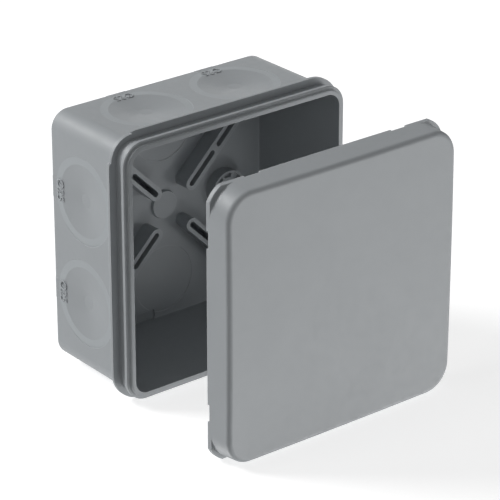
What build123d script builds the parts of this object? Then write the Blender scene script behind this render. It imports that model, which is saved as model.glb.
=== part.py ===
from build123d import *
import math
import os

os.makedirs("parts", exist_ok=True)

# A square surface-mounted junction box with membrane cable entries and a push-on lid.
# The frame: X to the right, Z up, the open front faces -Y, and the origin is the middle
# of the back face that lies on the wall. Every "height" below is a distance in front of
# that back face, in millimetres. The lid is drawn taken off, straight out in front.

# The mouth of the box, from which walls, rim, flange and lid take their widths
mouth_half = 38.36              # inside half width at the opening
mouth_corner_round = 4.36       # the corner arcs of walls and rim share its centre
body_height = 38.3              # back face to the front edge of the rim

# Box walls
wall_thickness = 1.59           # at the rim
wall_draft = 0.23               # the outside narrows by this much towards the back
cavity_draft = 0.76             # the inside narrows by this much towards the floor
back_edge_round = 1.0
back_thickness = 1.3
cavity_edge_round = 0.4

# Rim that enters the lid, with the bead that holds it
rim_lip_thickness = 1.45
rim_lip_round = 0.4
rim_step = 0.85                 # the lip stands this far in front of the ledge
bead_reach = 2.46               # from the mouth out to the bead
bead_width = 1.25
bead_corner_shift = -0.15       # of the bead's arc centre from that of the walls
bead_lead_in = 0.25

# Flange around the mouth
flange_reach = 4.14             # from the mouth out to the flange edge
flange_corner_round = 10.4
flange_thickness = 1.05
flange_depth = 5.5              # front of the rim back to the front of the flange
pry_step = 0.85                 # how far the pry corners step in from the flange side
pry_corner_shift = 0.36         # of the step's arc centre from that of the walls

# Cable entries, two on each side
entry_spacing = 32.8
entry_height = 15.9
entry_diameter = 27.2           # flat outer ring of an entry
entry_ring_depth = 0.12
membrane_diameter = 22.4        # dished part that is cut out for a conduit
membrane_disc_diameter = 4.3
membrane_dish = 1.0
pad_width = 6.6                 # raised pad at the back edge, behind each size mark
pad_length = 3.0                # the pad fades into the wall at about this height
pad_proud = 0.15
pad_root = 0.5                  # how far the pad reaches into the wall

# Floor of the box
rib_height = 5.8
rib_width = 4.25
rib_end_setback = 1.0           # the ribs end this far inside the square corner of the cavity
slot_width = 1.8
slot_start = 9.65               # middle of the box to the centre of the first slot end
slot_length = 11.2              # between the centres of a slot's two ends
slot_bridge = 3.5               # between the centres of facing slot ends
slot_skin = 0.6                 # wall left behind a slot
gate_pad_diameter = 8.66
gate_pad_height = 1.05
gate_pad_flare = 0.35
post_offset = 22.6
post_diameter = 12.2
post_height = 4.0
post_ring = 0.65
post_hub_diameter = 7.4
post_hub_drop = 0.7
post_bore_diameter = 3.2
post_spoke_count = 8
post_spoke_width = 0.8
post_pocket_depth = 1.8
seat_offset = 25.1              # faint round seats, above and below the middle of the floor
seat_diameter = 21.6
seat_depth = 0.15
drain_width = 7.0
drain_offset = -7.2             # middle of the drain pocket along X
drain_reach = 3.2               # from the lower wall up the floor
drain_depth = 0.7
drain_corner_round = 0.8

# Lid
lid_inset = 0.26                # the lid's rear edge lies this far inside the flange edge
lid_draft = 0.69                # the skirt narrows by this much towards the front
lid_depth = 9.0                 # rear edge to the edge of the front panel
lid_corner_round_rear = 8.6
lid_corner_round_front = 8.3
lid_edge_round = 1.5
lid_dome = 0.4                  # the middle of the panel stands this far proud
lid_panel_thickness = 2.0
lid_skirt_thickness = 0.8
lip_height = 1.4                # thin rear lip that bulges at the corners
lip_corner_radius = 9.0
lip_corner_shift = 0.1          # of the lip's arc centre from that of the walls
notch_length = 5.4
notch_depth = 0.7
notch_centre = 26.7
catch_length = 42.0
catch_width = 0.8
catch_proud = 0.25
catch_setback = 0.25            # behind the bead when the lid is shut

# Seal ring inside the lid
seal_gap = 0.1                  # left between seal and rim when the lid is shut
seal_overhang = 0.25
tongue_thickness = 1.0
tongue_reach = 0.9              # the tongue stands this far past the seal
tongue_clearance = 0.35

# Fit of the lid
shut_gap = 0.3                  # lid edge to flange when shut
lid_distance = 39.0             # rim to the lid's rear edge as shown, taken off

# Cuts and roots run on past a surface by this much
overshoot = 1.0

# Half widths and arc centres that follow from these
corner_centre = mouth_half - mouth_corner_round
wall_half_front = mouth_half + wall_thickness
wall_half_back = wall_half_front - wall_draft
cavity_half_back = mouth_half - cavity_draft
rim_lip_half = mouth_half + rim_lip_thickness
bead_half = mouth_half + bead_reach
bead_corner_centre = corner_centre + bead_corner_shift
flange_half = mouth_half + flange_reach
pry_corner_centre = corner_centre + pry_corner_shift
lid_half_rear = flange_half - lid_inset
lid_half_front = lid_half_rear - lid_draft
lip_corner_centre = corner_centre + lip_corner_shift
tongue_half = mouth_half - tongue_clearance

# Heights that follow from these
flange_front = body_height - flange_depth
ledge_height = body_height - rim_step
bead_base = ledge_height - bead_width
floor_height = back_thickness
lid_rear = body_height + lid_distance
lid_travel = lid_rear - (flange_front + shut_gap)

# Heights inside the lid, from its rear edge
panel_inside = lid_depth - lid_panel_thickness
rim_when_shut = body_height - flange_front - shut_gap
seal_thickness = panel_inside - rim_when_shut - seal_gap
tongue_end = panel_inside - seal_thickness - tongue_reach


def front(height):
    """The plane at a height in front of the back face, seen from the front."""
    return Plane.XZ.offset(height)


def square(half, corner_radius, height):
    """A rounded square at a height."""
    return front(height) * RectangleRounded(2 * half, 2 * half, corner_radius)


def block(half_a, radius_a, height_a, half_b, radius_b, height_b):
    """A drafted block between two rounded squares."""
    return loft([square(half_a, radius_a, height_a), square(half_b, radius_b, height_b)])


def straight(half, radius, height_a, height_b):
    """A block whose two ends are alike."""
    return extrude(square(half, radius, height_a), amount=height_b - height_a)


def corner_radius_of(half, centre=corner_centre):
    """The radius of a corner arc that keeps to a given centre."""
    return half - centre


def wall_half_at(height):
    """Outside half width of the drafted walls."""
    return wall_half_back + (wall_half_front - wall_half_back) * height / ledge_height


def on_four_sides(shape):
    """A feature of the lower side, repeated around the box."""
    return [shape.rotate(Axis.Y, 90 * turn) for turn in range(4)]


def disc(diameter, height, thickness, x=0.0, z=0.0):
    """A round disc or post that starts at a height and grows to the front."""
    return extrude(front(height) * Pos(x, z) * Circle(diameter / 2), amount=thickness)


def box_walls():
    """The drafted outside of the box with its rounded back edge."""
    outside = block(
        wall_half_back, corner_radius_of(wall_half_back), 0,
        wall_half_front, corner_radius_of(wall_half_front), ledge_height,
    )
    back_edges = outside.faces().sort_by(Axis.Y)[-1].edges()
    return fillet(back_edges, back_edge_round)


def rim():
    """The lip that meets the seal and the bead around it."""
    lip = straight(rim_lip_half, corner_radius_of(rim_lip_half), bead_base, body_height)
    lip = fillet(lip.faces().sort_by(Axis.Y)[0].edges(), rim_lip_round)
    bead = straight(bead_half, corner_radius_of(bead_half, bead_corner_centre), bead_base, ledge_height)
    return lip + chamfer(bead.faces().sort_by(Axis.Y)[0].edges(), bead_lead_in)


def flange():
    """The thin plate around the mouth, with two stepped corners for a screwdriver."""
    rear = flange_front - flange_thickness
    plate = straight(flange_half, flange_corner_round, rear, flange_front)
    pry_half = flange_half - pry_step
    pry_radius = corner_radius_of(pry_half, pry_corner_centre)
    stepped = straight(pry_half, pry_radius, rear, flange_front)
    # A 45 degree line ends each step, so the step's corner region is a square turned flat.
    reach = flange_half - pry_corner_centre + pry_step / 2
    middle = flange_half - reach / 2 + pry_step / 2
    for side in (-1, 1):
        region = extrude(
            front(rear) * Pos(side * middle, -side * middle) * Rectangle(reach, reach),
            amount=flange_thickness,
        )
        edges = region.edges().filter_by(Axis.Y)
        region = chamfer(edges.sort_by_distance((0, -rear, 0))[1:3], pry_step)
        plate = plate - region + (stepped & region)
    return plate


def entry_recess():
    """The shallow ring and the dished membrane of one entry, as the space they take."""
    ring_radius = entry_diameter / 2
    dish_radius = membrane_diameter / 2
    disc_radius = membrane_disc_diameter / 2
    dish_floor = entry_ring_depth + membrane_dish
    profile = Polyline(
        (0, overshoot), (ring_radius, overshoot), (ring_radius, -entry_ring_depth),
        (dish_radius, -entry_ring_depth), (disc_radius, -dish_floor), (0, -dish_floor),
        close=True,
    )
    return revolve(make_face(Plane.XZ * profile), Axis.Z)


def entry_pads():
    """The raised pads at the back edge, one behind each size mark, as thin wedges."""
    proud = wall_half_back + pad_proud
    sunk = wall_half_back - pad_proud
    wedge = block(
        proud, corner_radius_of(proud), 0,
        sunk, corner_radius_of(sunk), 2 * pad_length,
    )
    wedge = fillet(wedge.faces().sort_by(Axis.Y)[-1].edges(), back_edge_round)
    reach = 1.5 * pad_length
    deep = pad_root + pad_proud + overshoot
    middle = wall_half_back - pad_root + deep / 2
    pads = []
    for x in (-entry_spacing / 2, entry_spacing / 2):
        region = Pos(x, -reach / 2, middle) * Box(pad_width, reach, deep)
        pads += [wedge & turned for turned in on_four_sides(region)]
    return pads


def place_on_top(shape, x, height):
    """Moves a feature drawn on the XY plane onto the upper side of the box."""
    lean = math.degrees(math.atan2(wall_half_front - wall_half_back, ledge_height))
    return Pos(x, -height, wall_half_at(height)) * Rot(lean, 0, 0) * shape


def floor_rib():
    """One diagonal rib, from near the middle into the corner, as a plan outline."""
    end = math.hypot(cavity_half_back, cavity_half_back) - rib_end_setback
    length = end - slot_start
    bar = Pos(slot_start + length / 2, 0) * Rectangle(length, rib_width)
    outline = bar + Pos(slot_start, 0) * Circle(rib_width / 2)
    return outline


def slot_outline(first, last):
    """A long slot with round ends between two centres along a rib."""
    length = last - first
    return Pos(first + length / 2, 0) * SlotCenterToCenter(length, slot_width)


def ribs():
    """The four slotted ribs that take the wall screws."""
    body = None
    slots = None
    second_start = slot_start + slot_length + slot_bridge
    for turn in range(4):
        plan = front(floor_height) * Rot(0, 0, 45 + 90 * turn)
        rib = extrude(plan * floor_rib(), amount=rib_height)
        deep = front(slot_skin) * Rot(0, 0, 45 + 90 * turn)
        depth = floor_height + rib_height - slot_skin + overshoot
        pair = slot_outline(slot_start, slot_start + slot_length)
        pair = pair + slot_outline(second_start, second_start + slot_length)
        cut = extrude(deep * pair, amount=depth)
        body = rib if body is None else body + rib
        slots = cut if slots is None else slots + cut
    return body, slots


def gate_pad():
    """The low flared disc in the middle, where the plastic entered the mould."""
    base = front(floor_height) * Circle(gate_pad_diameter / 2 + gate_pad_flare)
    top = front(floor_height + gate_pad_height) * Circle(gate_pad_diameter / 2)
    return loft([base, top])


def post(x):
    """A round post with a hub on spokes inside its ring."""
    top = floor_height + post_height
    tube = disc(post_diameter, floor_height, post_height, x)
    pocket = disc(post_diameter - 2 * post_ring, top - post_pocket_depth, post_pocket_depth, x)
    hub_height = post_pocket_depth - post_hub_drop
    hub = disc(post_hub_diameter, top - post_pocket_depth, hub_height, x)
    spoke_length = post_diameter / 2 - post_ring / 2
    tube = tube - pocket + hub
    for count in range(post_spoke_count):
        angle = 360 / post_spoke_count * (count + 0.5)
        spoke = front(top - post_pocket_depth) * Pos(x, 0) * Rot(0, 0, angle)
        spoke = spoke * Pos(spoke_length / 2, 0) * Rectangle(spoke_length, post_spoke_width)
        tube = tube + extrude(spoke, amount=hub_height)
    bore = disc(post_bore_diameter, top - post_pocket_depth, post_height, x)
    return tube - bore


def drain_pocket():
    """A thinned place low on the floor that is broken out to let water drain."""
    outline = RectangleRounded(drain_width, drain_reach, drain_corner_round)
    middle = Pos(drain_offset, drain_reach / 2 - cavity_half_back)
    pocket = front(floor_height - drain_depth) * middle * outline
    return extrude(pocket, amount=drain_depth + overshoot)


def box_body():
    """The box as moulded in one piece."""
    body = box_walls() + flange() + rim()
    cavity = block(
        cavity_half_back, corner_radius_of(cavity_half_back), floor_height,
        mouth_half, corner_radius_of(mouth_half), body_height,
    )
    floor_edges = cavity.faces().sort_by(Axis.Y)[-1].edges()
    body = body - fillet(floor_edges, cavity_edge_round)
    rib_bodies, slots = ribs()
    body = body + rib_bodies
    floor_area = square(cavity_half_back, corner_radius_of(cavity_half_back), floor_height)
    for z in (-seat_offset, seat_offset):
        seat = disc(seat_diameter, floor_height - seat_depth, seat_depth, 0, z)
        seat = seat & extrude(floor_area, amount=-seat_depth)
        body = body - (seat - rib_bodies)
    body = body - drain_pocket() + gate_pad()
    for x in (-post_offset, post_offset):
        body = body + post(x)
    body = body - slots
    for x in (-entry_spacing / 2, entry_spacing / 2):
        recess = place_on_top(entry_recess(), x, entry_height)
        for cut in on_four_sides(recess):
            body = body - cut
    for pad in entry_pads():
        body = body + pad
    return body


def lid_half_at(height):
    """Outside half width of the lid's drafted skirt, from its rear edge."""
    return lid_half_rear + (lid_half_front - lid_half_rear) * height / lid_depth


def lid_radius_at(height):
    """Corner radius of the lid's drafted skirt, from its rear edge."""
    change = lid_corner_round_front - lid_corner_round_rear
    return lid_corner_round_rear + change * height / lid_depth


def lid_block(height_a, height_b, inset=0.0):
    """A slice of the lid's drafted outline, set in by a wall thickness."""
    return block(
        lid_half_at(height_a) - inset, lid_radius_at(height_a) - inset, height_a,
        lid_half_at(height_b) - inset, lid_radius_at(height_b) - inset, height_b,
    )


def lid_cap():
    """The outside of the lid, with a faintly domed panel and a rounded edge."""
    top = lid_depth + lid_dome
    dome_radius = (lid_half_front ** 2 + lid_dome ** 2) / (2 * lid_dome)
    dome = Pos(0, dome_radius - top, 0) * Sphere(dome_radius)
    cap = lid_block(0, top) & dome
    panel_edges = cap.faces().sort_by(Axis.Y)[0].edges()
    return fillet(panel_edges, lid_edge_round)


def corner_lips():
    """The thin rear lip that bulges at each corner, to lift the lid by."""
    bound = block(
        lid_half_at(0), lid_edge_round, 0,
        lid_half_at(lip_height), lid_edge_round, lip_height,
    )
    lips = None
    for x in (-lip_corner_centre, lip_corner_centre):
        for z in (-lip_corner_centre, lip_corner_centre):
            lip = disc(2 * lip_corner_radius, 0, lip_height, x, z) & bound
            lips = lip if lips is None else lips + lip
    return lips


def ring(half, thickness, height_a, height_b):
    """A square ring whose corners follow the rim's."""
    outer = straight(half, corner_radius_of(half), height_a, height_b)
    inside = half - thickness
    return outer - straight(inside, corner_radius_of(inside), height_a, height_b)


def skirt_notch():
    """A shallow notch through the rear edge of the lower side of the lid."""
    through = 2 * (lid_skirt_thickness + overshoot)
    return Pos(0, -notch_depth / 2, -lid_half_rear) * Box(notch_length, notch_depth, through)


def catch():
    """The ridge inside the lower skirt that clicks behind the bead."""
    shut_bead = bead_base - flange_front - shut_gap
    middle = shut_bead - catch_setback - catch_width / 2
    inner = lid_half_at(middle) - lid_skirt_thickness
    root = lid_skirt_thickness / 2
    section = Polyline(
        (-middle - catch_width / 2, -inner - root), (-middle - catch_width / 2, -inner),
        (-middle, -inner + catch_proud), (-middle + catch_width / 2, -inner),
        (-middle + catch_width / 2, -inner - root), close=True,
    )
    start = Plane.YZ.offset(-catch_length / 2)
    return extrude(start * make_face(section), amount=catch_length)


def lid():
    """The lid as moulded in one piece, drawn with its rear edge at height 0."""
    body = lid_cap() + corner_lips()
    body = body - lid_block(0, panel_inside, lid_skirt_thickness)
    body = body + ring(tongue_half, tongue_thickness, tongue_end, panel_inside)
    for place in (-notch_centre, notch_centre):
        for cut in on_four_sides(Pos(place, 0, 0) * skirt_notch()):
            body = body - cut
    for ridge in on_four_sides(catch()):
        body = body + ridge
    return body


def seal():
    """The soft ring that the rim presses on, around the lid's tongue."""
    half = rim_lip_half + seal_overhang
    return ring(half, half - tongue_half, panel_inside - seal_thickness, panel_inside)


taken_off = Pos(0, -lid_rear, 0)
nodes = {
    "box_body": box_body(),
    "lid": taken_off * lid(),
    "lid_seal": taken_off * seal(),
}
for name, shape in nodes.items():
    export_step(shape, f"parts/{name}.step")
print("lid travel", round(lid_travel, 2), "seal thickness", round(seal_thickness, 2))
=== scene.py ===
# %% [markdown]
# # Junction box
# A square surface-mounted junction box in grey moulded plastic, with its push-on lid taken off
# and set in front of it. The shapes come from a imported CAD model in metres. This script gives
# them their surfaces, adds the small raised size marks, and sets the camera, floor and lights.

import math

import bpy
from mathutils import Matrix, Vector


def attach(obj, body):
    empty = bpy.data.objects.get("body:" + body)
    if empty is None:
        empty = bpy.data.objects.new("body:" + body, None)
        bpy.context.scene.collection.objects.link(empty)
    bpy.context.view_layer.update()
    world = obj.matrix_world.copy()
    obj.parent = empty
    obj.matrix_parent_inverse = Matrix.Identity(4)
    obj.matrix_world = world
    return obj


MM = 0.001
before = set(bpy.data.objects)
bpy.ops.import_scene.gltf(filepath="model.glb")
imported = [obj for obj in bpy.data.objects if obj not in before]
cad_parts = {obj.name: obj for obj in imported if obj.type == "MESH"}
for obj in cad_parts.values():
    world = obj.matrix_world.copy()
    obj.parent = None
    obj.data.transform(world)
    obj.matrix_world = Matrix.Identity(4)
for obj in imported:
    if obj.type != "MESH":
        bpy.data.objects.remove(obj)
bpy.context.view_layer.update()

# %% [markdown]
# ## The camera
# A product like this is photographed from the front left and above. A short lens would make the
# near edges much longer than the far ones. A long lens from further away keeps parallel edges
# almost parallel, so it is used here. Its place could be found by eye, but it was worked out
# from the straight edges of the box, which all run along one of three directions.

# %% Camera
LENS_MM = 206.0
SENSOR_MM = 36.0
CAMERA_PLACE = Vector((-0.47827, -0.63996, 0.34843))
CAMERA_AIM = Vector((0.004284, -0.0383, -0.003544))
camera_data = bpy.data.cameras.new("product_camera")
camera_data.lens = LENS_MM
camera_data.sensor_width = SENSOR_MM
camera_data.clip_start = 0.05
camera_data.clip_end = 20.0
camera = bpy.data.objects.new("product_camera", camera_data)
bpy.context.scene.collection.objects.link(camera)
camera.location = CAMERA_PLACE
camera.rotation_euler = (CAMERA_AIM - camera.location).to_track_quat("-Z", "Y").to_euler()
bpy.context.scene.camera = camera
print("camera distance", round((CAMERA_AIM - camera.location).length, 3), "m")

# %% [markdown]
# ## Tools for materials
# Colours are written as the hex values that a paint program shows. Blender wants linear light,
# so one function converts them. Another adds a node with its settings and links. It keeps each
# material a short list of steps, where separate lines for every socket would fill pages.

# %% Colour helper
def linear(hex_value):
    """An sRGB hex colour as the linear RGBA that a shader socket takes."""
    channels = [int(hex_value[i:i + 2], 16) / 255 for i in (1, 3, 5)]
    light = [c / 12.92 if c <= 0.04045 else ((c + 0.055) / 1.055) ** 2.4 for c in channels]
    return light + [1.0]


print("mid grey in linear light", [round(c, 3) for c in linear("#9a9ea1")[:3]])

# %% Node and material helpers
def add_node(tree, kind, settings=None, inputs=None):
    """Adds a node, sets its properties, and sets or links its inputs."""
    made = tree.nodes.new(kind)
    for name, value in (settings or {}).items():
        setattr(made, name, value)
    for name, value in (inputs or {}).items():
        socket = made.inputs[name]
        if isinstance(value, bpy.types.NodeSocket):
            tree.links.new(value, socket)
        else:
            socket.default_value = value
    return made


def new_material(name):
    """An empty node material with only its output."""
    material = bpy.data.materials.new(name)
    material.use_nodes = True
    material.node_tree.nodes.clear()
    output = material.node_tree.nodes.new("ShaderNodeOutputMaterial")
    print("material", name)
    return material, material.node_tree, output


# %% [markdown]
# ## Moulded grey polypropylene
# The box and the lid are injection moulded in grey polypropylene. The walls of the mould were
# spark eroded, and their fine grain is copied onto every face, so the surface is matt and its
# highlights are wide. One flat colour would do from far away, but it looks like paint. So the
# colour drifts a little, the way pigment flows with the melt, and the edges are paler, partly as
# wear where the plastic has been rubbed and partly as a painted highlight along them. All of it
# is worked out from the place on the object, which needs no unwrapping.

# %% Sizes of the moulded surface
# Real grain is about 0.05 mm, too fine to show in the render, so it is drawn at 0.35 mm.
GRAIN = 0.35 * MM
GRAIN_DEPTH = 0.02 * MM
# Patches of slightly more and less shine, and the slow drift of the pigment.
MOTTLE = 2.2 * MM
FLOW = 22 * MM
# Edges are rounded by the mould, and paler over a wider band, from wear and a painted highlight.
EDGE_RADIUS = 0.1 * MM
LETTER_EDGE_RADIUS = 0.03 * MM
WEAR_AND_HIGHLIGHT_WIDTH = 0.3 * MM
print("grain, mottle and flow in mm", [round(size / MM, 2) for size in (GRAIN, MOTTLE, FLOW)])

# %% Pigment, and pale edges of wear and painted highlight
def pigment_flow(tree, place, deep, base):
    """A colour that drifts slowly between two shades."""
    flow = add_node(tree, "ShaderNodeTexNoise", {}, {
        "Vector": place, "Scale": 1 / FLOW, "Detail": 3.0, "Roughness": 0.55, "Distortion": 0.6,
    }).outputs["Fac"]
    blend = add_node(tree, "ShaderNodeMapRange", {}, {
        "Value": flow, "From Min": 0.3, "From Max": 0.7,
    }).outputs["Result"]
    return add_node(tree, "ShaderNodeMix", {"data_type": "RGBA"}, {
        "Factor": blend, "A": linear(deep), "B": linear(base),
    }).outputs["Result"]


# Where the edges are coloured paler, partly as wear and partly as a painted highlight.
def worn_and_highlit_edges(tree):
    """1 at edges and 0 on flat faces: how far a rounded normal turns from the true one."""
    pale_band_bevel = add_node(tree, "ShaderNodeBevel", {"samples": 4}, {"Radius": WEAR_AND_HIGHLIGHT_WIDTH})
    true_normal = add_node(tree, "ShaderNodeNewGeometry")
    bend = add_node(tree, "ShaderNodeVectorMath", {"operation": "DOT_PRODUCT"}, {
        0: pale_band_bevel.outputs["Normal"], 1: true_normal.outputs["Normal"],
    }).outputs["Value"]
    return add_node(tree, "ShaderNodeMapRange", {}, {
        "Value": bend, "From Min": 0.985, "From Max": 0.85,
    }).outputs["Result"]


# %% [markdown]
# ## Rings around the cable entries
# Each entry is a dished membrane that can be cut out, with a flat ring around it. The mould was
# polished a little more there, and the ring is coloured slightly lighter as a painted sheen of that
# smoother face. It could be a mesh of its own, but then it would lie over the wall. Here the shader
# measures how far each point is from the middle of its entry. The eight entries mirror one another,
# so absolute values, and then the smaller and the larger of the two, bring all of them to one place.

# %% Where the rings are
ENTRY_PLACE = 16.4 * MM
ENTRY_DEPTH = 15.9 * MM
RING_OUTER = 13.6 * MM
RING_INNER = 11.2 * MM
OUTSIDE_FROM = 39 * MM


# The mask marks where the rings' painted sheen, a lighter colour, goes.
def ring_sheen_mask(tree, place):
    """1 on the flat ring around each cable entry and 0 elsewhere."""
    split = add_node(tree, "ShaderNodeSeparateXYZ", {}, {"Vector": place}).outputs
    across = add_node(tree, "ShaderNodeMath", {"operation": "ABSOLUTE"}, {0: split["X"]})
    up = add_node(tree, "ShaderNodeMath", {"operation": "ABSOLUTE"}, {0: split["Z"]})
    pair = {0: across.outputs["Value"], 1: up.outputs["Value"]}
    along = add_node(tree, "ShaderNodeMath", {"operation": "MINIMUM"}, pair)
    outward = add_node(tree, "ShaderNodeMath", {"operation": "MAXIMUM"}, pair)
    folded = add_node(tree, "ShaderNodeCombineXYZ", {}, {
        "X": along.outputs["Value"], "Y": split["Y"],
    })
    radius = add_node(tree, "ShaderNodeVectorMath", {"operation": "DISTANCE"}, {
        0: folded.outputs["Vector"], 1: (ENTRY_PLACE, -ENTRY_DEPTH, 0.0),
    })
    in_ring = add_node(tree, "ShaderNodeMath", {"operation": "COMPARE"}, {
        0: radius.outputs["Value"],
        1: (RING_OUTER + RING_INNER) / 2,
        2: (RING_OUTER - RING_INNER) / 2,
    })
    outside = add_node(tree, "ShaderNodeMath", {"operation": "GREATER_THAN"}, {
        0: outward.outputs["Value"], 1: OUTSIDE_FROM,
    })
    both = add_node(tree, "ShaderNodeMath", {"operation": "MULTIPLY"}, {
        0: in_ring.outputs["Value"], 1: outside.outputs["Value"],
    })
    return both.outputs["Value"]


print("ring", round((RING_OUTER - RING_INNER) / MM, 1), "mm wide")

# %% [markdown]
# ## The finished plastic
# One function builds the material, and the box, the lid and the letters each get their own
# version of it: the box has the painted sheen of the rings, and the letters have crisper edges
# with less paling from wear and painted highlight.
# The refractive index is that of polypropylene, and a roughness of about a half is that of a
# spark-eroded face.

# %% Polypropylene material
GREY = "#9da1a4"
DEEP_GREY = "#9a9ea1"
# The rings' lighter colour is a painted sheen.
RING_SHEEN_GREY = "#a2a7aa"
# Paler edge colours: part wear, part painted highlight.
WORN_AND_HIGHLIT_GREY = "#dadddf"
WORN_AND_HIGHLIT_LETTER_GREY = "#c8cbcd"
ROUGHNESS = 0.5


def moulded_polypropylene(name, worn_and_highlit_grey, edge_radius, entry_rings=False):
    """Matt plastic with pigment flow, spark-eroded grain, and edges paled by wear and painted highlight.
    """
    material, tree, output = new_material(name)
    place = add_node(tree, "ShaderNodeTexCoord").outputs["Object"]
    mottle = add_node(tree, "ShaderNodeTexNoise", {}, {
        "Vector": place, "Scale": 1 / MOTTLE, "Detail": 2.0, "Roughness": 0.6,
    }).outputs["Fac"]
    # Edges made paler: wear where rubbed, and a painted highlight.
    worn_and_highlit = add_node(tree, "ShaderNodeMath", {"operation": "MULTIPLY"}, {
        0: worn_and_highlit_edges(tree), 1: mottle,
    }).outputs["Value"]
    colour = add_node(tree, "ShaderNodeMix", {"data_type": "RGBA"}, {
        "Factor": worn_and_highlit, "A": pigment_flow(tree, place, DEEP_GREY, GREY), "B": linear(worn_and_highlit_grey),
    }).outputs["Result"]
    # Painted sheen: the rings around the entries are coloured lighter.
    if entry_rings:
        colour = add_node(tree, "ShaderNodeMix", {"data_type": "RGBA"}, {
            "Factor": ring_sheen_mask(tree, place), "A": colour, "B": linear(RING_SHEEN_GREY),
        }).outputs["Result"]
    shine = add_node(tree, "ShaderNodeMapRange", {}, {
        "Value": mottle, "From Min": 0.3, "From Max": 0.7,
        "To Min": ROUGHNESS - 0.05, "To Max": ROUGHNESS + 0.06,
    }).outputs["Result"]
    rounded = add_node(tree, "ShaderNodeBevel", {"samples": 4}, {"Radius": edge_radius})
    grain = add_node(tree, "ShaderNodeTexNoise", {}, {
        "Vector": place, "Scale": 1 / GRAIN, "Detail": 2.0, "Roughness": 0.7,
    }).outputs["Fac"]
    relief = add_node(tree, "ShaderNodeBump", {}, {
        "Height": grain, "Normal": rounded.outputs["Normal"],
        "Strength": 0.25, "Distance": GRAIN_DEPTH,
    }).outputs["Normal"]
    shader = add_node(tree, "ShaderNodeBsdfPrincipled", {}, {
        "Base Color": colour, "Roughness": shine, "Normal": relief, "IOR": 1.49,
    })
    tree.links.new(shader.outputs["BSDF"], output.inputs["Surface"])
    return material


lid_plastic = moulded_polypropylene("moulded_grey_polypropylene", WORN_AND_HIGHLIT_GREY, EDGE_RADIUS)
box_plastic = moulded_polypropylene(
    "moulded_grey_polypropylene_with_rings", WORN_AND_HIGHLIT_GREY, EDGE_RADIUS, entry_rings=True,
)
letter_plastic = moulded_polypropylene(
    "moulded_grey_polypropylene_letters", WORN_AND_HIGHLIT_LETTER_GREY, LETTER_EDGE_RADIUS,
)
print("nodes for lid and box", [len(m.node_tree.nodes) for m in (lid_plastic, box_plastic)])

# %% [markdown]
# ## Moulded soft seal
# The ring inside the lid is a thermoplastic elastomer, a rubber that can be moulded. It is
# near black and matt. Plain black would hide its shape, so a faint mottle is laid over it, as
# the talc does that keeps a new seal from sticking. Its fine skin is drawn at 0.3 mm, which is
# coarser than the real one, so that it shows.

# %% Elastomer material
TALC_PATCH = 3.0 * MM
SKIN = 0.3 * MM
SKIN_DEPTH = 0.03 * MM


def moulded_elastomer(name):
    """Matt black elastomer with a trace of talc."""
    material, tree, output = new_material(name)
    place = add_node(tree, "ShaderNodeTexCoord").outputs["Object"]
    talc = add_node(tree, "ShaderNodeTexNoise", {}, {
        "Vector": place, "Scale": 1 / TALC_PATCH, "Detail": 4.0, "Roughness": 0.65,
    }).outputs["Fac"]
    dust = add_node(tree, "ShaderNodeMapRange", {}, {
        "Value": talc, "From Min": 0.45, "From Max": 0.75, "To Min": 0.0, "To Max": 0.35,
    }).outputs["Result"]
    colour = add_node(tree, "ShaderNodeMix", {"data_type": "RGBA"}, {
        "Factor": dust, "A": linear("#232425"), "B": linear("#4a4b4c"),
    }).outputs["Result"]
    skin = add_node(tree, "ShaderNodeTexNoise", {}, {
        "Vector": place, "Scale": 1 / SKIN, "Detail": 2.0,
    }).outputs["Fac"]
    relief = add_node(tree, "ShaderNodeBump", {}, {
        "Height": skin, "Strength": 0.3, "Distance": SKIN_DEPTH,
    }).outputs["Normal"]
    shader = add_node(tree, "ShaderNodeBsdfPrincipled", {}, {
        "Base Color": colour, "Roughness": 0.75, "Normal": relief, "IOR": 1.5,
    })
    tree.links.new(shader.outputs["BSDF"], output.inputs["Surface"])
    return material


seal_elastomer = moulded_elastomer("moulded_seal_elastomer")
print("nodes for the seal", len(seal_elastomer.node_tree.nodes))

# %% [markdown]
# ## Dressing the CAD pieces
# The three solids are the real pieces, so their meshes stay as they are and each gets one
# material. Where the finish differs from place to place, as on the rings, the shader decides.

# %% Dress the CAD pieces
dress = {"box_body": box_plastic, "lid": lid_plastic, "lid_seal": seal_elastomer}
for name, material in dress.items():
    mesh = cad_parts[name].data
    mesh.materials.clear()
    mesh.materials.append(material)
    print(name, len(mesh.polygons), "faces")

# %% [markdown]
# ## Size marks
# Each entry carries a raised mark for the conduit that it takes, cut into the mould as letters
# about 3 mm high that stand 0.35 mm off the wall. They could be a bump in the material, but
# raised letters catch the light on their sides and show in the outline. So Blender's text
# object gives their shape, it is turned into a mesh, and each point of that is laid on the
# wall: on the flat ring, or on the slope of the dish.

# %% Where the wall's surface is
# The wall leans outwards by 0.23 mm between its two ends. The ring lies a little lower than the
# wall, and the dish slopes down from the ring's inner edge to a flat disc in its middle.
WALL_AT_BACK = 39.72 * MM
WALL_LEAN = 0.23 / 37.45
RING_DEPTH = 0.12 * MM
DISH_DEPTH = 1.0 * MM
DISH_MIDDLE = 2.15 * MM


def wall_surface(from_entry, height):
    """The wall's distance from the middle of the box, beside an entry and above the back."""
    radius = math.hypot(from_entry, height - ENTRY_DEPTH)
    surface = WALL_AT_BACK + WALL_LEAN * height
    if radius < RING_OUTER:
        surface -= RING_DEPTH
    if radius < RING_INNER:
        surface -= DISH_DEPTH * (RING_INNER - radius) / (RING_INNER - DISH_MIDDLE)
    return surface


print("wall beside an entry", round(wall_surface(RING_OUTER, ENTRY_DEPTH) / MM, 2), "mm from the middle")

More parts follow.
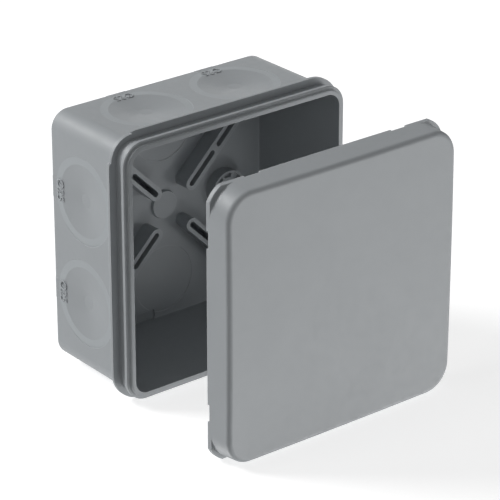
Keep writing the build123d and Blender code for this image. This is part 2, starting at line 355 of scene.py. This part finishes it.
# %% Shape of the letters
# The text has its own units here, because its size is set when it is laid on the wall. Any
# depth will do that gives it a front and a back, and a small negative offset slims its strokes.
MARK_TEXT = "Ø25"
ANY_DEPTH = 0.1
SLIMMER_STROKES = -0.018
CURVE_STEPS = 4
text_data = bpy.data.curves.new("size_mark_text", "FONT")
text_data.body = MARK_TEXT
text_data.align_x = "CENTER"
text_data.align_y = "CENTER"
text_data.extrude = ANY_DEPTH
text_data.offset = SLIMMER_STROKES
text_data.resolution_u = CURVE_STEPS
text_object = bpy.data.objects.new("size_mark_text", text_data)
bpy.context.scene.collection.objects.link(text_object)
bpy.context.view_layer.update()
evaluated = text_object.evaluated_get(bpy.context.evaluated_depsgraph_get())
letters = bpy.data.meshes.new_from_object(evaluated)
bpy.data.objects.remove(text_object)
print("letters", len(letters.polygons), "faces")

# %% Lay the letters on the wall
MARK_LENGTH = 6.7 * MM
MARK_HEIGHT = 2.9 * MM
MARK_MIDDLE = 4.6 * MM
MARK_PROUD = 0.35 * MM
MARK_BURIED = 0.15 * MM


def centred(values, size):
    """The values moved and scaled to lie evenly on both sides of 0 within this size."""
    low = min(values)
    high = max(values)
    return [((value - low) / (high - low) - 0.5) * size for value in values]


across = centred([vertex.co.x for vertex in letters.vertices], MARK_LENGTH)
upward = centred([vertex.co.y for vertex in letters.vertices], MARK_HEIGHT)
for vertex, sideways, rise in zip(letters.vertices, across, upward):
    # On the upper side the mark reads towards -X, with its top towards the front of the box.
    height = MARK_MIDDLE + rise
    lift = MARK_PROUD if vertex.co.z > 0 else -MARK_BURIED
    vertex.co = Vector((-sideways, -height, wall_surface(sideways, height) + lift))
print("wall under the marks", round(wall_surface(0, MARK_MIDDLE) / MM, 2), "mm from the middle")

# %% Place the size marks
SIDES = 4
mark_number = 0
for side in range(SIDES):
    turn = Matrix.Rotation(side * math.tau / SIDES, 4, "Y")
    for along in (-ENTRY_PLACE, ENTRY_PLACE):
        mark_number += 1
        mark_mesh = letters.copy()
        mark_mesh.transform(turn @ Matrix.Translation((along, 0, 0)))
        mark_mesh.materials.clear()
        mark_mesh.materials.append(letter_plastic)
        mark = bpy.data.objects.new(f"size_mark_{mark_number}", mark_mesh)
        bpy.context.scene.collection.objects.link(mark)
        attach(mark, "box")
print("marks", mark_number)

# %% [markdown]
# ## Light table
# The object stands on a light table, a white sheet that the lamps under it shine through. They
# light its front and sides from below, where an ordinary table would leave them dark. The sheet
# could be a thin translucent solid, but that is slow to render. So it is a diffuse plane that
# casts no shadow of its own, lets the lamps through and still shows the object's shadow. For
# the camera alone it glows a little, which makes it white without more light on the object.

# %% Floor
FLOOR_HEIGHT = -42.5 * MM
REACH = 6.0
PAPER_GLOW = 0.72
corners = [(-REACH, -REACH), (REACH, -REACH), (REACH, REACH), (-REACH, REACH)]
floor_mesh = bpy.data.meshes.new("studio_floor")
floor_mesh.from_pydata([(x, y, FLOOR_HEIGHT) for x, y in corners], [], [(0, 1, 2, 3)])
floor = bpy.data.objects.new("studio_floor", floor_mesh)
bpy.context.scene.collection.objects.link(floor)
floor.visible_shadow = False
print("floor", 2 * REACH, "m wide at", round(FLOOR_HEIGHT / MM, 1), "mm")

# %% Floor material
material, tree, output = new_material("pale_studio_paper")
seen = add_node(tree, "ShaderNodeLightPath").outputs["Is Camera Ray"]
paper = add_node(tree, "ShaderNodeBsdfDiffuse", {}, {"Color": linear("#bcbcbc")})
glow = add_node(tree, "ShaderNodeEmission", {}, {
    "Color": [1, 1, 1, 1], "Strength": PAPER_GLOW,
})
lit_paper = add_node(tree, "ShaderNodeAddShader", {}, {
    0: paper.outputs["BSDF"], 1: glow.outputs["Emission"],
})
choice = add_node(tree, "ShaderNodeMixShader", {}, {
    0: seen, 1: paper.outputs["BSDF"], 2: lit_paper.outputs["Shader"],
})
tree.links.new(choice.outputs["Shader"], output.inputs["Surface"])
floor_mesh.materials.append(material)
print("paper nodes", len(tree.nodes))

# %% [markdown]
# ## Soft surroundings
# A studio's pale walls send a little light back from all sides. A full set of walls could be
# built, but an even world colour does the same. Its light is weak, so that the lamps still
# shape the object, and the camera alone sees it as white.

# %% World
WORLD_LEVEL = 0.2
world = bpy.data.worlds.new("soft_studio")
bpy.context.scene.world = world
world.use_nodes = True
tree = world.node_tree
tree.nodes.clear()
rays = add_node(tree, "ShaderNodeLightPath")
soft = add_node(tree, "ShaderNodeBackground", {}, {
    "Color": [1, 1, 1, 1], "Strength": WORLD_LEVEL,
})
white = add_node(tree, "ShaderNodeBackground", {}, {"Color": [1, 1, 1, 1], "Strength": 1.0})
mixed = add_node(tree, "ShaderNodeMixShader", {}, {
    0: rays.outputs["Is Camera Ray"], 1: soft.outputs["Background"], 2: white.outputs["Background"],
})
add_node(tree, "ShaderNodeOutputWorld", {}, {"Surface": mixed.outputs["Shader"]})
print("world level", WORLD_LEVEL)

# %% [markdown]
# ## Lamps
# Large round lamps stand on a sphere around the object and face its middle. The ones under the
# table and at the right light the front from below, so the lid's shadow falls on the upper left
# of the flange and the inside stays dark. The ones behind lay a soft sheen on the left side and
# the top. One lamp from each side could do for a plain view, but the walls, the dishes and the
# rim would then be too much alike. These nine and their powers were not set by eye. A least
# squares fit picked them out of 124 trial lamps, as the ones that come nearest to how light
# each part of the object is in its photograph, and the powers were then rounded.

# %% Lamps
LAMP_DISTANCE = 2.6
LAMP_SIZE = 1.0
LAMP_AIM = Vector((0, -0.04, 0))
# Each lamp: degrees round from the front, degrees above the table, and its power in watts.
LAMPS = {
    "table_front_lamp": (0, -40, 7.6),
    "table_right_lamp": (60, -40, 34.7),
    "table_back_left_lamp": (-140, -60, 34.5),
    "low_right_lamp": (40, -12, 9.2),
    "front_right_lamp": (20, 4, 6.8),
    "right_back_lamp": (140, 4, 5.7),
    "back_lamp": (-160, 4, 9.9),
    "back_left_lamp": (-140, 40, 49.4),
    "high_left_lamp": (-100, 60, 5.9),
}


def direction(azimuth, elevation):
    """The direction at these degrees round from the front and above the table."""
    around = math.radians(azimuth)
    above = math.radians(elevation)
    level = math.cos(above)
    return Vector((math.sin(around) * level, -math.cos(around) * level, math.sin(above)))


for name, (azimuth, elevation, power) in LAMPS.items():
    outward = direction(azimuth, elevation)
    data = bpy.data.lights.new(name, "AREA")
    data.shape = "DISK"
    data.size = LAMP_SIZE
    data.energy = power
    lamp = bpy.data.objects.new(name, data)
    lamp.location = LAMP_AIM + outward * LAMP_DISTANCE
    lamp.rotation_euler = (-outward).to_track_quat("-Z", "Y").to_euler()
    bpy.context.scene.collection.objects.link(lamp)
print("lamps", len(LAMPS))

# %% [markdown]
# ## Colour management
# A film look would bend the greys, so the Standard view is used, which shows each colour as it
# is written.

# %% Finish
bpy.context.scene.view_settings.view_transform = "Standard"
